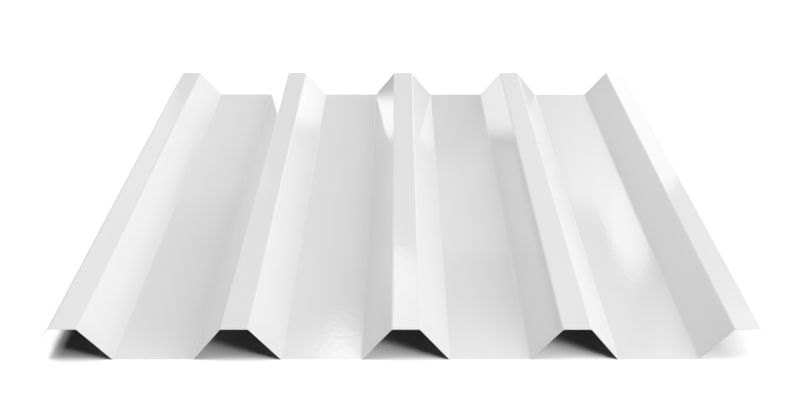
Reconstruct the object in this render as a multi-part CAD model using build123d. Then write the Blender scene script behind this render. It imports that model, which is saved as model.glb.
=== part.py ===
from build123d import *
from math import atan2, cos, degrees, sin
import os

# Roll-formed sheet for roofs and walls: one piece of coated steel, folded into trapezoidal ribs
# with wide flat pans between them. Millimetres. The ribs run along Y, the cover width lies along
# X and +Z is up. The pans rest on Z = 0, and X = Y = 0 is the middle of the sheet's footprint.

# Driving dimensions. Widths across the section are taken on the middle line of the steel,
# between the points where the flat runs would meet if the folds were sharp.
sheet_length = 1000.0
rib_count = 5
rib_height = 56.0
crest_width = 41.0
pan_width = 120.0
web_run = 44.5
steel_thickness = 0.8
inside_fold_radius = 3.5
underlap_lip_length = 25.0
overlap_crest_width = 38.5

# What follows from them: the spacing of the ribs, the two levels that the middle line of the
# steel lies on, the slope of the webs, and the radius of the middle line in every fold.
rib_pitch = crest_width + pan_width + 2 * web_run
pan_level = steel_thickness / 2
crest_level = rib_height - steel_thickness / 2
web_angle = atan2(crest_level - pan_level, web_run)
fold_radius = inside_fold_radius + steel_thickness / 2


def crest_corners(index):
    """The two folds of one rib's crest, counted from the underlap side."""
    centre = index * rib_pitch
    return [(centre - crest_width / 2, crest_level), (centre + crest_width / 2, crest_level)]


def pan_corners(index):
    """The two folds of the pan between this rib and the next one."""
    left = index * rib_pitch + crest_width / 2 + web_run
    return [(left, pan_level), (left + pan_width, pan_level)]


def underlap_edge():
    """Free edge of the short lip, which slopes down from the first crest as a web does."""
    fold_x, fold_z = crest_corners(0)[0]
    return fold_x - underlap_lip_length * cos(web_angle), fold_z - underlap_lip_length * sin(web_angle)


def overlap_edge():
    """Free edge of the last crest, which laps over the first crest of the next sheet."""
    fold_x, fold_z = crest_corners(rib_count - 1)[0]
    return fold_x + overlap_crest_width, fold_z


def section_corners():
    """Every corner of the section in order, from the underlap edge to the overlap edge."""
    corners = [underlap_edge()]
    for index in range(rib_count - 1):
        corners += crest_corners(index) + pan_corners(index)
    corners.append(crest_corners(rib_count - 1)[0])
    corners.append(overlap_edge())
    return corners


def section_face():
    """The cut end: the folded middle line at the steel's full thickness, with square slit edges."""
    middle_line = FilletPolyline(*section_corners(), radius=fold_radius)
    return Plane.XZ * trace(middle_line, line_width=steel_thickness)


def profiled_sheet():
    """The whole sheet, cut square at both ends and centred over its own footprint."""
    sheet = extrude(section_face(), amount=sheet_length / 2, both=True)
    footprint_centre = sheet.bounding_box().center()
    return Pos(X=-footprint_centre.X) * sheet


sheet = profiled_sheet()
sheet.label = "profiled_sheet"

box = sheet.bounding_box()
print(f"overall {box.size.X:.2f} x {box.size.Y:.2f} x {box.size.Z:.2f}, from z {box.min.Z:.3f}")
print(f"rib pitch {rib_pitch:.1f}, web angle {degrees(web_angle):.2f} degrees")

os.makedirs("parts", exist_ok=True)
export_step(sheet, "parts/profiled_sheet.step")
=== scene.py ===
import math

import bmesh
import bpy
from mathutils import Matrix, Vector


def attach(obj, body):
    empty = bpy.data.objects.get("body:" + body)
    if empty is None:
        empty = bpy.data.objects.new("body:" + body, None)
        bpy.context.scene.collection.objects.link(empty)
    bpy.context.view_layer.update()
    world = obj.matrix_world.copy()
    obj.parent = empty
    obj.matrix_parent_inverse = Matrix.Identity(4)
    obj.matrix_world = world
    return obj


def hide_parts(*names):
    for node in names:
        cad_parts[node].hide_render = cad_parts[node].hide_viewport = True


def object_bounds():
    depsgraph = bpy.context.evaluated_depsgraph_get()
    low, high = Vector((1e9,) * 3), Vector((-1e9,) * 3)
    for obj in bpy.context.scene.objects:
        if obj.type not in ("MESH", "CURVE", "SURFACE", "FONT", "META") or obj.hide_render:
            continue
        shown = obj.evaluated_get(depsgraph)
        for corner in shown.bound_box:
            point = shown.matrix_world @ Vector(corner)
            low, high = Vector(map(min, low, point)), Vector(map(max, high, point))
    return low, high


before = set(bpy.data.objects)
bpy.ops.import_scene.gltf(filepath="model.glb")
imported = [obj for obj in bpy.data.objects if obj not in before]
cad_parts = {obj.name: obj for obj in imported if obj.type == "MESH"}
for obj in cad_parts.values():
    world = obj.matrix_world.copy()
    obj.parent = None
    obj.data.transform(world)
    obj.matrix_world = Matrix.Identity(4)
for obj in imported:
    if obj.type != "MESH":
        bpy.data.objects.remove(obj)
cad_low, cad_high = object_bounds()

# Metres. The section has the CAD sheet's sizes: widths are taken on the middle line of the
# steel, between the points where the flat runs would meet if the folds were sharp.
RIB_COUNT = 5
CREST_WIDTH = 0.041
PAN_WIDTH = 0.120
WEB_RUN = 0.0445
STEEL = 0.0008
INSIDE_FOLD_RADIUS = 0.0035
LIP_LENGTH = 0.025
OVERLAP_CREST_WIDTH = 0.0385
RIB_HEIGHT = cad_high.z - cad_low.z
SHEET_LENGTH = cad_high.y - cad_low.y
RIB_PITCH = CREST_WIDTH + PAN_WIDTH + 2 * WEB_RUN
PAN_LEVEL = STEEL / 2
CREST_LEVEL = RIB_HEIGHT - STEEL / 2
WEB_ANGLE = math.atan2(CREST_LEVEL - PAN_LEVEL, WEB_RUN)
FOLD_RADIUS = INSIDE_FOLD_RADIUS + STEEL / 2

# How finely the sheet is divided.
FOLD_STEPS = 8
FLAT_STEP = 0.012
ROW_STEP = 0.020

# Shearing rolls the painted edge over by ROLL_DROP within ROLL_RUN of the cut, and leaves the
# core in two bands: burnished under the paint, then broken.
ROLL_DROP = 0.00008
ROLL_RUN = 0.0004
BURNISHED_SHARE = 0.4

# Flat strips of thin steel are never quite flat: the most that they bow, always inside the box.
PAN_BOW = 0.00012
CREST_BOW = 0.00005
WEB_BOW = 0.00008

# The waves that a strip's bow varies with: share, radians a metre along the sheet and across it,
# and phase.
RIPPLE_WAVES = ((0.4, 11, 53, 0.7), (1.0, 19, 31, 0), (0.6, 33, -17, 1.9))

# Layers of the mesh and the material slots of its faces.
TOP, BETWEEN, UNDER = range(3)
TOP_COAT, BACK_COAT, BURNISHED, BROKEN = range(4)


def section_corners():
    """Corners of the middle line with the bow of the run after each, from lip to overlap edge."""
    corners = []
    for rib in range(RIB_COUNT):
        left = rib * RIB_PITCH - CREST_WIDTH / 2
        if rib == 0:
            lip_x = left - LIP_LENGTH * math.cos(WEB_ANGLE)
            lip_z = CREST_LEVEL - LIP_LENGTH * math.sin(WEB_ANGLE)
            corners.append((Vector((lip_x, lip_z)), 0))
        corners.append((Vector((left, CREST_LEVEL)), -CREST_BOW))
        if rib == RIB_COUNT - 1:
            corners.append((Vector((left + OVERLAP_CREST_WIDTH, CREST_LEVEL)), 0))
        else:
            pan = left + CREST_WIDTH + WEB_RUN
            corners.append((Vector((left + CREST_WIDTH, CREST_LEVEL)), WEB_BOW))
            corners.append((Vector((pan, PAN_LEVEL)), PAN_BOW))
            corners.append((Vector((pan + PAN_WIDTH, PAN_LEVEL)), -WEB_BOW))
    return corners


def left_normal(direction):
    """Unit normal on the left of a direction in the section, which is the weather face's side."""
    return Vector((-direction.y, direction.x)).normalized()


def flat_points(start, end, bow):
    """Stations of a flat run, close together beside its two folds."""
    run = end - start
    normal = left_normal(run)
    steps = max(2, round(run.length / FLAT_STEP))
    near = ROLL_RUN / run.length
    inner = [i / steps for i in range(1, steps)]
    shares = [0, near, 2 * near] + inner + [1 - 2 * near, 1 - near, 1]
    return [(start + run * s, normal, bow * math.sin(math.pi * s) ** 2) for s in shares]


def fold_points(corner, before, after):
    """Stations round the fold at a corner."""
    n0, n1 = left_normal(before), left_normal(after)
    turn = before.angle_signed(after)
    side = 1 if turn > 0 else -1
    setback = FOLD_RADIUS * math.tan(abs(turn) / 2)
    centre = corner - before.normalized() * setback - side * n0 * FOLD_RADIUS
    points = []
    for i in range(FOLD_STEPS + 1):
        normal = n0.slerp(n1, i / FOLD_STEPS)
        points.append((centre + side * normal * FOLD_RADIUS, normal, 0))
    return points


def section_line():
    """The folded middle line as (point, normal, bow) stations, placed in the CAD box."""
    corners = section_corners()
    line = []
    start, bow = corners[0]
    for (a, _), (b, next_bow), (c, _) in zip(corners, corners[1:], corners[2:]):
        fold = fold_points(b, b - a, c - b)
        line += flat_points(start, fold[0][0], bow)[:-1] + fold[:-1]
        start, bow = fold[-1][0], next_bow
    line += flat_points(start, corners[-1][0], bow)
    lip_point, lip_normal, _ = line[0]
    shift = cad_low.x - (lip_point.x - abs(lip_normal.x) * STEEL / 2)
    return [(point + Vector((shift, 0)), normal, bow) for point, normal, bow in line]


def ripple(x, y):
    """Slow unevenness along a flat strip, from 0 to 1. The phase differs from strip to strip."""
    waves = [
        share * math.sin(y * along + x * across + phase)
        for share, along, across, phase in RIPPLE_WAVES
    ]
    return 0.5 + sum(waves) / (2 * sum(wave[0] for wave in RIPPLE_WAVES))


def row_places():
    """Places of the rows along the length, close together behind each cut end's rolled edge."""
    rows = round(SHEET_LENGTH / ROW_STEP)
    near = [0, ROLL_RUN, 2 * ROLL_RUN]
    inner = [SHEET_LENGTH * j / rows for j in range(1, rows)]
    far = [SHEET_LENGTH - run for run in reversed(near)]
    return [cad_low.y + run for run in near + inner + far]


def add_points(bm, line, ys):
    """Vertices by layer, station and row. Only the rim has the layer between the cut's bands."""
    last, end = len(line) - 1, len(ys) - 1
    grid = {}
    for j, y in enumerate(ys):
        for i, (point, normal, bow) in enumerate(line):
            middle = point + normal * bow * ripple(point.x, y)
            rim = i in (0, last) or j in (0, end)
            drop = ROLL_DROP if rim else 0
            top, under = STEEL / 2 - drop, -STEEL / 2
            heights = {TOP: top, UNDER: under}
            if rim:
                heights[BETWEEN] = top + (under - top) * BURNISHED_SHARE
            for level, height in heights.items():
                p = middle + normal * height
                grid[level, i, j] = bm.verts.new((p.x, y, p.y))
    return grid


def add_faces(bm, grid, last, end):
    """Faces of the weather face, the underside and the two bands right round the cut edge."""

    def add(material, *keys):
        bm.faces.new([grid[key] for key in keys]).material_index = material

    for j in range(end):
        for i in range(last):
            add(TOP_COAT, (TOP, i, j), (TOP, i + 1, j), (TOP, i + 1, j + 1), (TOP, i, j + 1))
            add(BACK_COAT, (UNDER, i, j), (UNDER, i, j + 1), (UNDER, i + 1, j + 1), (UNDER, i + 1, j))
    bands = ((BURNISHED, TOP, BETWEEN), (BROKEN, BETWEEN, UNDER))
    for band, upper, lower in bands:
        for j in range(end):
            add(band, (upper, 0, j), (upper, 0, j + 1), (lower, 0, j + 1), (lower, 0, j))
            add(band, (lower, last, j), (lower, last, j + 1), (upper, last, j + 1), (upper, last, j))
        for i in range(last):
            add(band, (lower, i, 0), (lower, i + 1, 0), (upper, i + 1, 0), (upper, i, 0))
            add(band, (upper, i, end), (upper, i + 1, end), (lower, i + 1, end), (lower, i, end))


def sheet_mesh():
    """The sheet as one closed mesh, smooth but for the borders between its materials."""
    line = section_line()
    ys = row_places()
    mesh = bpy.data.meshes.new("coated_sheet")
    bm = bmesh.new()
    grid = add_points(bm, line, ys)
    add_faces(bm, grid, len(line) - 1, len(ys) - 1)
    for face in bm.faces:
        face.smooth = True
    for edge in bm.edges:
        if len({face.material_index for face in edge.link_faces}) > 1:
            edge.smooth = False
    bm.normal_update()
    bm.to_mesh(mesh)
    bm.free()
    return mesh


# Rates of the noises, in waves a metre: across the sheet, along it and up.
MOTTLE = (7, 7, 7)
ROLL_MARKS = (330, 2.5, 330)
COARSE_PEEL = (105, 105, 105)
FINE_PEEL = (170, 170, 170)
SHEAR_TEETH = (2600, 2600, 500)
PAPER_FIBRE = (60, 60, 60)

# The coarse orange peel is this many times as high as the fine one.
COARSE_PEEL_GAIN = 2.2

# Where most values of a noise lie.
NOISE_SPAN = (0.3, 0.7)


def add_node(tree, kind, **values):
    """A shader node with some of its inputs set by name, with underscores for spaces."""
    node = tree.nodes.new(kind)
    for name, value in values.items():
        node.inputs[name.replace("_", " ")].default_value = value
    return node


def noise(tree, waves_per_metre, detail):
    """Noise on an object's own coordinates. The three rates squeeze or stretch it along each."""
    place = tree.nodes.new("ShaderNodeTexCoord")
    squeeze = add_node(tree, "ShaderNodeMapping", Scale=waves_per_metre)
    field = add_node(tree, "ShaderNodeTexNoise", Scale=1.0, Detail=detail, Roughness=0.5)
    tree.links.new(place.outputs["Object"], squeeze.inputs["Vector"])
    tree.links.new(squeeze.outputs["Vector"], field.inputs["Vector"])
    return field.outputs[0]


def map_range(tree, source, span, result):
    """A value mapped from one span to another, and held at the ends of it."""
    node = add_node(tree, "ShaderNodeMapRange", From_Min=span[0], From_Max=span[1],
                    To_Min=result[0], To_Max=result[1])
    tree.links.new(source, node.inputs["Value"])
    return node.outputs["Result"]


def grey_mix(tree, source, greys):
    """A grey that wanders between two values with a noise."""
    ramp = tree.nodes.new("ShaderNodeValToRGB")
    for stop, place, grey in zip(ramp.color_ramp.elements, NOISE_SPAN, greys):
        stop.position = place
        stop.color = (grey, grey, grey, 1)
    tree.links.new(source, ramp.inputs["Fac"])
    return ramp.outputs["Color"]


def relief(tree, source, height, base=None):
    """Bump of a given height in metres, laid over another bump if one is given."""
    bump = add_node(tree, "ShaderNodeBump", Strength=1.0, Distance=height)
    tree.links.new(source, bump.inputs["Height"])
    if base:
        tree.links.new(base, bump.inputs["Normal"])
    return bump.outputs["Normal"]


def new_material(name):
    """A new material with its node tree and its surface shader."""
    material = bpy.data.materials.new(name)
    material.use_nodes = True
    return material, material.node_tree, material.node_tree.nodes["Principled BSDF"]


def paint(name, greys, roughness, peel_height):
    """Baked coil paint: a faint mottle, the orange peel of the film, and marks of the rolls."""
    material, tree, shader = new_material(name)
    mottle = noise(tree, MOTTLE, detail=3)
    rolls = noise(tree, ROLL_MARKS, detail=2)
    coarse = noise(tree, COARSE_PEEL, detail=1)
    fine = noise(tree, FINE_PEEL, detail=1)
    peel = relief(tree, coarse, peel_height * COARSE_PEEL_GAIN)
    peel = relief(tree, fine, peel_height, peel)
    tree.links.new(grey_mix(tree, mottle, greys), shader.inputs["Base Color"])
    tree.links.new(map_range(tree, rolls, NOISE_SPAN, roughness), shader.inputs["Roughness"])
    tree.links.new(peel, shader.inputs["Normal"])
    return material


def bare_steel(name, greys, roughness, tooth_height):
    """Sheared steel between the paint films, with teeth across the cut."""
    material, tree, shader = new_material(name)
    teeth = noise(tree, SHEAR_TEETH, detail=3)
    shader.inputs["Metallic"].default_value = 1
    tree.links.new(grey_mix(tree, teeth, greys), shader.inputs["Base Color"])
    tree.links.new(map_range(tree, teeth, NOISE_SPAN, roughness), shader.inputs["Roughness"])
    tree.links.new(relief(tree, teeth, tooth_height), shader.inputs["Normal"])
    return material


def add_object(name, data):
    """An object in the scene's own collection."""
    thing = bpy.data.objects.new(name, data)
    bpy.context.scene.collection.objects.link(thing)
    return thing


def build_sheet():
    """The dressed sheet, which stands for the plain solid."""
    mesh = sheet_mesh()
    materials = (
        paint("top_coat", greys=(0.745, 0.755), roughness=(0.026, 0.042), peel_height=0.00004),
        paint("back_coat", greys=(0.27, 0.33), roughness=(0.38, 0.46), peel_height=0.000003),
        bare_steel("burnished_steel", greys=(0.62, 0.80), roughness=(0.22, 0.36), tooth_height=0.000004),
        bare_steel("broken_steel", greys=(0.42, 0.62), roughness=(0.40, 0.60), tooth_height=0.000012),
    )
    for material in materials:
        mesh.materials.append(material)
    sheet = add_object("coated_sheet", mesh)
    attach(sheet, "root")
    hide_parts("profiled_sheet")
    return sheet


# The paper under the sheet, which glows with painted light of its own: a faint painted fill where the
# shadows lie, growing to paper white between two distances from the sheet's middle, so that it has no
# dark horizon.
FLOOR_SIZE = 80
PAPER_GREYS = (0.895, 0.905)
PAPER_ROUGHNESS = 0.9
PAPER_GLOW = (0.012, 1.0)
PAPER_GLOW_REACH = (1.2, 4.0)


def floor_paper():
    """White paper without any gloss, glowing with painted light: a faint fill near the sheet, paper
    white far off.
    """
    material, tree, shader = new_material("floor_paper")
    fibre = noise(tree, PAPER_FIBRE, detail=4)
    tree.links.new(grey_mix(tree, fibre, PAPER_GREYS), shader.inputs["Base Color"])
    shader.inputs["Roughness"].default_value = PAPER_ROUGHNESS
    shader.inputs["Specular IOR Level"].default_value = 0
    shader.inputs["Emission Color"].default_value = (1, 1, 1, 1)
    place = tree.nodes.new("ShaderNodeTexCoord")
    distance = tree.nodes.new("ShaderNodeVectorMath")
    distance.operation = "LENGTH"
    tree.links.new(place.outputs["Object"], distance.inputs[0])
    glow = map_range(tree, distance.outputs["Value"], PAPER_GLOW_REACH, PAPER_GLOW)
    tree.links.new(glow, shader.inputs["Emission Strength"])
    return material


def build_floor():
    """A wide sheet of paper, which throws no light back on the sheet."""
    mesh = bpy.data.meshes.new("floor")
    half = FLOOR_SIZE / 2
    corners = ((-half, -half, 0), (half, -half, 0), (half, half, 0), (-half, half, 0))
    mesh.from_pydata(corners, [], [(0, 1, 2, 3)])
    mesh.materials.append(floor_paper())
    floor = add_object("floor", mesh)
    floor.visible_glossy = floor.visible_diffuse = False
    return floor


# The camera, as the photograph's outline places it: focal length in pixels of an 800 pixel wide
# picture, width of the sensor in millimetres, place in metres, and its turns.
PICTURE_WIDTH = 800
FOCAL_PIXELS = 951.4
SENSOR_WIDTH = 36
CAMERA_PLACE = (-0.0008, -1.6134, 0.8965)
CAMERA_PITCH = math.radians(29.608)
CAMERA_YAW = math.radians(-0.073)
CAMERA_ROLL = math.radians(0.056)


def build_camera():
    """The camera: rolled, turned down from level by its pitch, then sideways by its yaw."""
    data = bpy.data.cameras.new("camera")
    data.sensor_width = SENSOR_WIDTH
    data.lens = FOCAL_PIXELS / PICTURE_WIDTH * SENSOR_WIDTH
    camera = add_object("camera", data)
    turn = Matrix.Rotation(CAMERA_YAW, 4, "Z") @ Matrix.Rotation(math.pi / 2 - CAMERA_PITCH, 4, "X")
    roll = Matrix.Rotation(CAMERA_ROLL, 4, "Z")
    camera.matrix_world = Matrix.Translation(CAMERA_PLACE) @ turn @ roll
    bpy.context.scene.camera = camera


# The studio. Strengths are radiances, where 1 is paper white.

# What the gloss of the paint sees of the room, by height: (elevation in degrees, radiance).
ROOM_BANDS = (
    (-90, 1.25), (-17, 1.25), (-14.5, 0.43), (2, 0.43),
    (5, 0.92), (18, 0.92), (22, 0.53), (90, 0.53),
)

# Panels and dark flags that show in the gloss alone: radiance and corners as (azimuth, elevation)
# in degrees, azimuth from straight behind the sheet to the right. Each stands in front of those
# above it in the list, nearer by PANEL_STEP of its distance.
STUDIO_RADIUS = 2000
PANEL_STEP = 0.06
PANELS = (
    # On the left, for the crests and pans of that side.
    ("left_wall", 1.3, (
        (-60, 12), (-13, 12), (-14.5, 24), (-16.5, 28), (-18.5, 30), (-20, 33), (-19.5, 36),
        (-17, 37), (-17, 45), (-60, 45))),
    ("left_dim", 0.91, (
        (-14.3, 22.5), (-8.5, 22.5), (-9, 28.5), (-16.7, 29))),
    ("left_flag", 0.45, (
        (-19.3, 36), (-19, 33), (-17.5, 32.2), (-14.5, 30.6), (-12.7, 30.7), (-12.7, 37),
        (-16, 36.9))),
    # On the right, for the crests and pans of that side.
    ("low_flag", 0.1, (
        (1.2, 19), (5.5, 19), (5.5, 25), (4, 27), (1.2, 27))),
    ("high_flag", 0.01, (
        (1.5, 32.8), (8, 32.5), (8.8, 36), (6, 36), (3.5, 36.5), (2.3, 36.3))),
    ("right_flag", 0.29, (
        (11.5, 29.6), (14.2, 29.6), (15, 31), (18, 33.5), (17.8, 37), (13.3, 37), (12.6, 33.6))),
    ("ceiling_glow", 1.2, (
        (3.5, 38.2), (6.2, 37), (9.8, 36.8), (12, 38), (12, 45), (3, 45))),
    ("right_glow", 1.1, (
        (18.4, 33.2), (30, 33.2), (30, 45), (20.2, 45), (18.9, 37))),
    ("right_dim", 0.62, (
        (6.3, 22.8), (8.8, 21.5), (9.5, 17), (14, 17), (14, 29.2), (11, 29), (9.5, 27.6),
        (6.3, 27.3))),
    ("right_low", 0.95, (
        (10, 17), (14, 17), (14, 29), (10.4, 28.6))),
    ("right_mid", 1.4, (
        (11.5, 17), (15, 17), (15, 30), (12.9, 29.1), (11.5, 28.9))),
    ("right_bright", 1.87, (
        (12.8, 17), (12.9, 28.8), (13.8, 29.6), (15.2, 32.2), (16.4, 33.3), (17.4, 32.6),
        (17.8, 30), (17.6, 28.8), (18.5, 26.3), (19.4, 24), (18.5, 17))),
    ("right_hot", 2.6, (
        (14.2, 27.2), (14.6, 29.8), (15.2, 31.3), (16.2, 32.3), (17.2, 31.3), (17, 28))),
    # High in the middle, for the near ends of the second pan and the middle crest.
    ("middle_glow", 1.4, (
        (-9, 38.2), (-7.5, 37.2), (-5.9, 36.4), (-4.1, 35.9), (-2.9, 36.5), (-1.9, 37.4),
        (-1.7, 44), (-9, 44))),
    ("middle_warm", 2.6, (
        (-7, 38.6), (-5.8, 37.5), (-4.9, 36.9), (-3.9, 36.7), (-2.9, 37.4), (-2, 38), (-2, 44),
        (-7.2, 44))),
    ("middle_hot", 3.9, (
        (-5.8, 39), (-5, 38), (-4.2, 37.5), (-3.3, 37.6), (-2.3, 38.6), (-2.2, 44), (-6, 44))),
    ("middle_bright", 1.75, (
        (-1.5, 31.3), (-0.4, 31.95), (1.2, 33.05), (2.3, 33.7), (2.2, 37), (1.5, 39), (-1.3, 39))),
    ("middle_white", 2.2, (
        (-1.5, 31.3), (-0.4, 31.95), (1.2, 33.05), (2.3, 33.7), (1.8, 34.6), (0.4, 35.6),
        (-0.9, 39), (-1.5, 39))),
    # Low down beyond the far end, for the webs.
    ("left_strip", 1.95, (
        (-26.3, 3.5), (-21.5, 3.5), (-21.9, -0.5), (-22.7, -4.5), (-22.3, -6.2), (-19.2, -11),
        (-19.2, -14), (-21.8, -14), (-25.2, -5.3))),
    ("right_strip", 1.3, (
        (20, -1.5), (25.3, -1.5), (25.3, 7), (20, 7))),
    ("right_fill", 0.62, (
        (19, -14.3), (26, -14.3), (26, -1.5), (19, -1.5))),
)

# Soft boxes, which don't show in gloss: name, what they light, place, the point that they face,
# width and height in metres, and radiance. Those for the floor keep the paper white, and their
# shadows lie under the ribs.
SOFT_BOXES = (
    ("sky_left", "sheet", (-2.6, 2.4, 3.2), (-2.6, 2.4, 0), (2.8, 4.8), 0.82),
    ("sky_middle", "sheet", (0, 2.4, 3.2), (0, 2.4, 0), (2.4, 4.8), 1.0),
    ("sky_right", "sheet", (2.6, 2.4, 3.2), (2.6, 2.4, 0), (2.8, 4.8), 1.65),
    ("back_left", "sheet", (-2.6, 4.8, 1.6), (0, 0, 0), (2.8, 3.2), 0.1),
    ("back_middle", "sheet", (0, 4.8, 1.6), (0, 0, 0), (2.4, 3.2), 0.36),
    ("back_right", "sheet", (2.6, 4.8, 1.6), (0, 0, 0), (2.8, 3.2), 1.0),
    ("left_back", "sheet", (-4.0, 1.6, 1.6), (0, 0, 0), (4.0, 3.2), 0.4),
    ("left_front", "sheet", (-3.8, -1.6, 1.2), (0, 0, 0), (4.0, 2.2), 1.4),
    ("right_back", "sheet", (4.0, 1.6, 1.6), (0, 0, 0), (4.0, 3.2), 1.45),
    ("right_front", "sheet", (3.6, -1.6, 1.2), (0, 0, 0), (4.0, 2.2), 1.8),
    ("front", "sheet", (1.0, -3.8, 1.2), (0, 0, 0), (3.0, 1.6), 3.5),
    ("key", "sheet", (1.05, -1.25, 0.47), (0, 0, 0), (1.0, 0.55), 1.4),
    ("top", "sheet", (0, -1.5, 3.5), (0, 0, 0), (4.0, 2.0), 2.2),
    ("strip", "floor", (1.2, -1.18, 0.6), (0, -1.18, 0.6), (0.34, 0.98), 24),
    ("far_strip", "floor", (1.2, -0.84, 0.85), (0, -0.84, 0.85), (0.34, 0.5), 16),
    ("left_wash", "floor", (-1.35, -0.5, 5), (-1.35, -0.5, 0), (1.3, 1.0), 30),
    ("wash", "floor", (0.5, 0.3, 6), (0.5, 0.3, 0), (9.0, 4.6), 2.45),
    ("back_wash", "floor", (-2, 2, 5), (-2, 2, 0), (4.0, 2.0), 5.8),
)


def math_node(tree, operation, *sources):
    """A Math node whose inputs are sockets or numbers."""
    node = tree.nodes.new("ShaderNodeMath")
    node.operation = operation
    for i, source in enumerate(sources):
        if isinstance(source, (int, float)):
            node.inputs[i].default_value = source
        else:
            tree.links.new(source, node.inputs[i])
    return node.outputs["Value"]


def room_bands(tree, height):
    """Radiance that the gloss sees, by the sine of the elevation, from -1 to 1."""
    share = math_node(tree, "MULTIPLY_ADD", height, 0.5, 0.5)
    ramp = tree.nodes.new("ShaderNodeValToRGB")
    stops = ramp.color_ramp.elements
    for elevation, _ in ROOM_BANDS[1:-1]:
        stops.new((math.sin(math.radians(elevation)) + 1) / 2)
    for stop, (_, radiance) in zip(stops, ROOM_BANDS):
        stop.color = (radiance, radiance, radiance, 1)
    tree.links.new(share, ramp.inputs["Fac"])
    return ramp.outputs["Color"]


def build_room():
    """The room: white behind the floor, bands for gloss, dark for rays that met a matt surface."""
    world = bpy.data.worlds.new("room")
    world.use_nodes = True
    tree = world.node_tree
    place = tree.nodes.new("ShaderNodeTexCoord")
    axes = tree.nodes.new("ShaderNodeSeparateXYZ")
    tree.links.new(place.outputs["Generated"], axes.inputs["Vector"])
    bands = room_bands(tree, axes.outputs["Z"])
    ray = tree.nodes.new("ShaderNodeLightPath")
    clean = math_node(tree, "LESS_THAN", ray.outputs["Diffuse Depth"], 0.5)
    mirrored = math_node(tree, "MULTIPLY", ray.outputs["Is Glossy Ray"], clean)
    matt_or_gloss = tree.nodes.new("ShaderNodeMix")
    matt_or_gloss.inputs["A"].default_value = 0
    tree.links.new(mirrored, matt_or_gloss.inputs["Factor"])
    tree.links.new(bands, matt_or_gloss.inputs["B"])
    seen = tree.nodes.new("ShaderNodeMix")
    seen.inputs["B"].default_value = 1
    tree.links.new(ray.outputs["Is Camera Ray"], seen.inputs["Factor"])
    tree.links.new(matt_or_gloss.outputs["Result"], seen.inputs["A"])
    backdrop = tree.nodes["Background"]
    backdrop.inputs["Color"].default_value = (1, 1, 1, 1)
    tree.links.new(seen.outputs["Result"], backdrop.inputs["Strength"])
    bpy.context.scene.world = world


def direction(azimuth, elevation):
    """Unit vector towards an azimuth and an elevation in degrees."""
    a, e = math.radians(azimuth), math.radians(elevation)
    return Vector((math.sin(a) * math.cos(e), math.cos(a) * math.cos(e), math.sin(e)))


def panel_glow(name, radiance):
    """A plain light emitter, which the renderer doesn't sample as a lamp."""
    material = bpy.data.materials.new(name)
    material.use_nodes = True
    tree = material.node_tree
    tree.nodes.clear()
    glow = add_node(tree, "ShaderNodeEmission", Strength=radiance)
    output = tree.nodes.new("ShaderNodeOutputMaterial")
    tree.links.new(glow.outputs["Emission"], output.inputs["Surface"])
    material.cycles.emission_sampling = "NONE"
    return material


def build_panel(name, radiance, corners, distance):
    """A panel or flag that only gloss sees."""
    mesh = bpy.data.meshes.new(name)
    points = [direction(*corner) * distance for corner in corners]
    mesh.from_pydata(points, [], [range(len(points))])
    mesh.materials.append(panel_glow(name, radiance))
    panel = add_object(name, mesh)
    panel.visible_camera = panel.visible_diffuse = panel.visible_shadow = False


def build_soft_box(name, receiver, place, target, size, radiance):
    """An area light of a given radiance that falls on one collection and isn't seen itself."""
    data = bpy.data.lights.new(name, "AREA")
    data.shape = "RECTANGLE"
    data.size, data.size_y = size
    data.energy = math.pi * size[0] * size[1] * radiance
    light = add_object(name, data)
    aim = (Vector(target) - Vector(place)).to_track_quat("-Z", "Y").to_matrix().to_4x4()
    light.matrix_world = Matrix.Translation(place) @ aim
    light.visible_camera = light.visible_glossy = False
    light.light_linking.receiver_collection = receiver


def receivers(name, thing):
    """A collection of the one thing that a light falls on."""
    group = bpy.data.collections.new(name)
    group.objects.link(thing)
    return group


def build_light(sheet, floor):
    """The room, what stands in it, and the soft boxes for the sheet and for the floor."""
    build_room()
    for order, (name, radiance, corners) in enumerate(PANELS):
        build_panel(name, radiance, corners, STUDIO_RADIUS * (1 - PANEL_STEP) ** order)
    lit = {"sheet": receivers("lit_sheet", sheet), "floor": receivers("lit_floor", floor)}
    for name, thing, place, target, size, radiance in SOFT_BOXES:
        build_soft_box(name, lit[thing], place, target, size, radiance)
    bpy.context.scene.view_settings.view_transform = "Standard"


build_light(build_sheet(), build_floor())
build_camera()
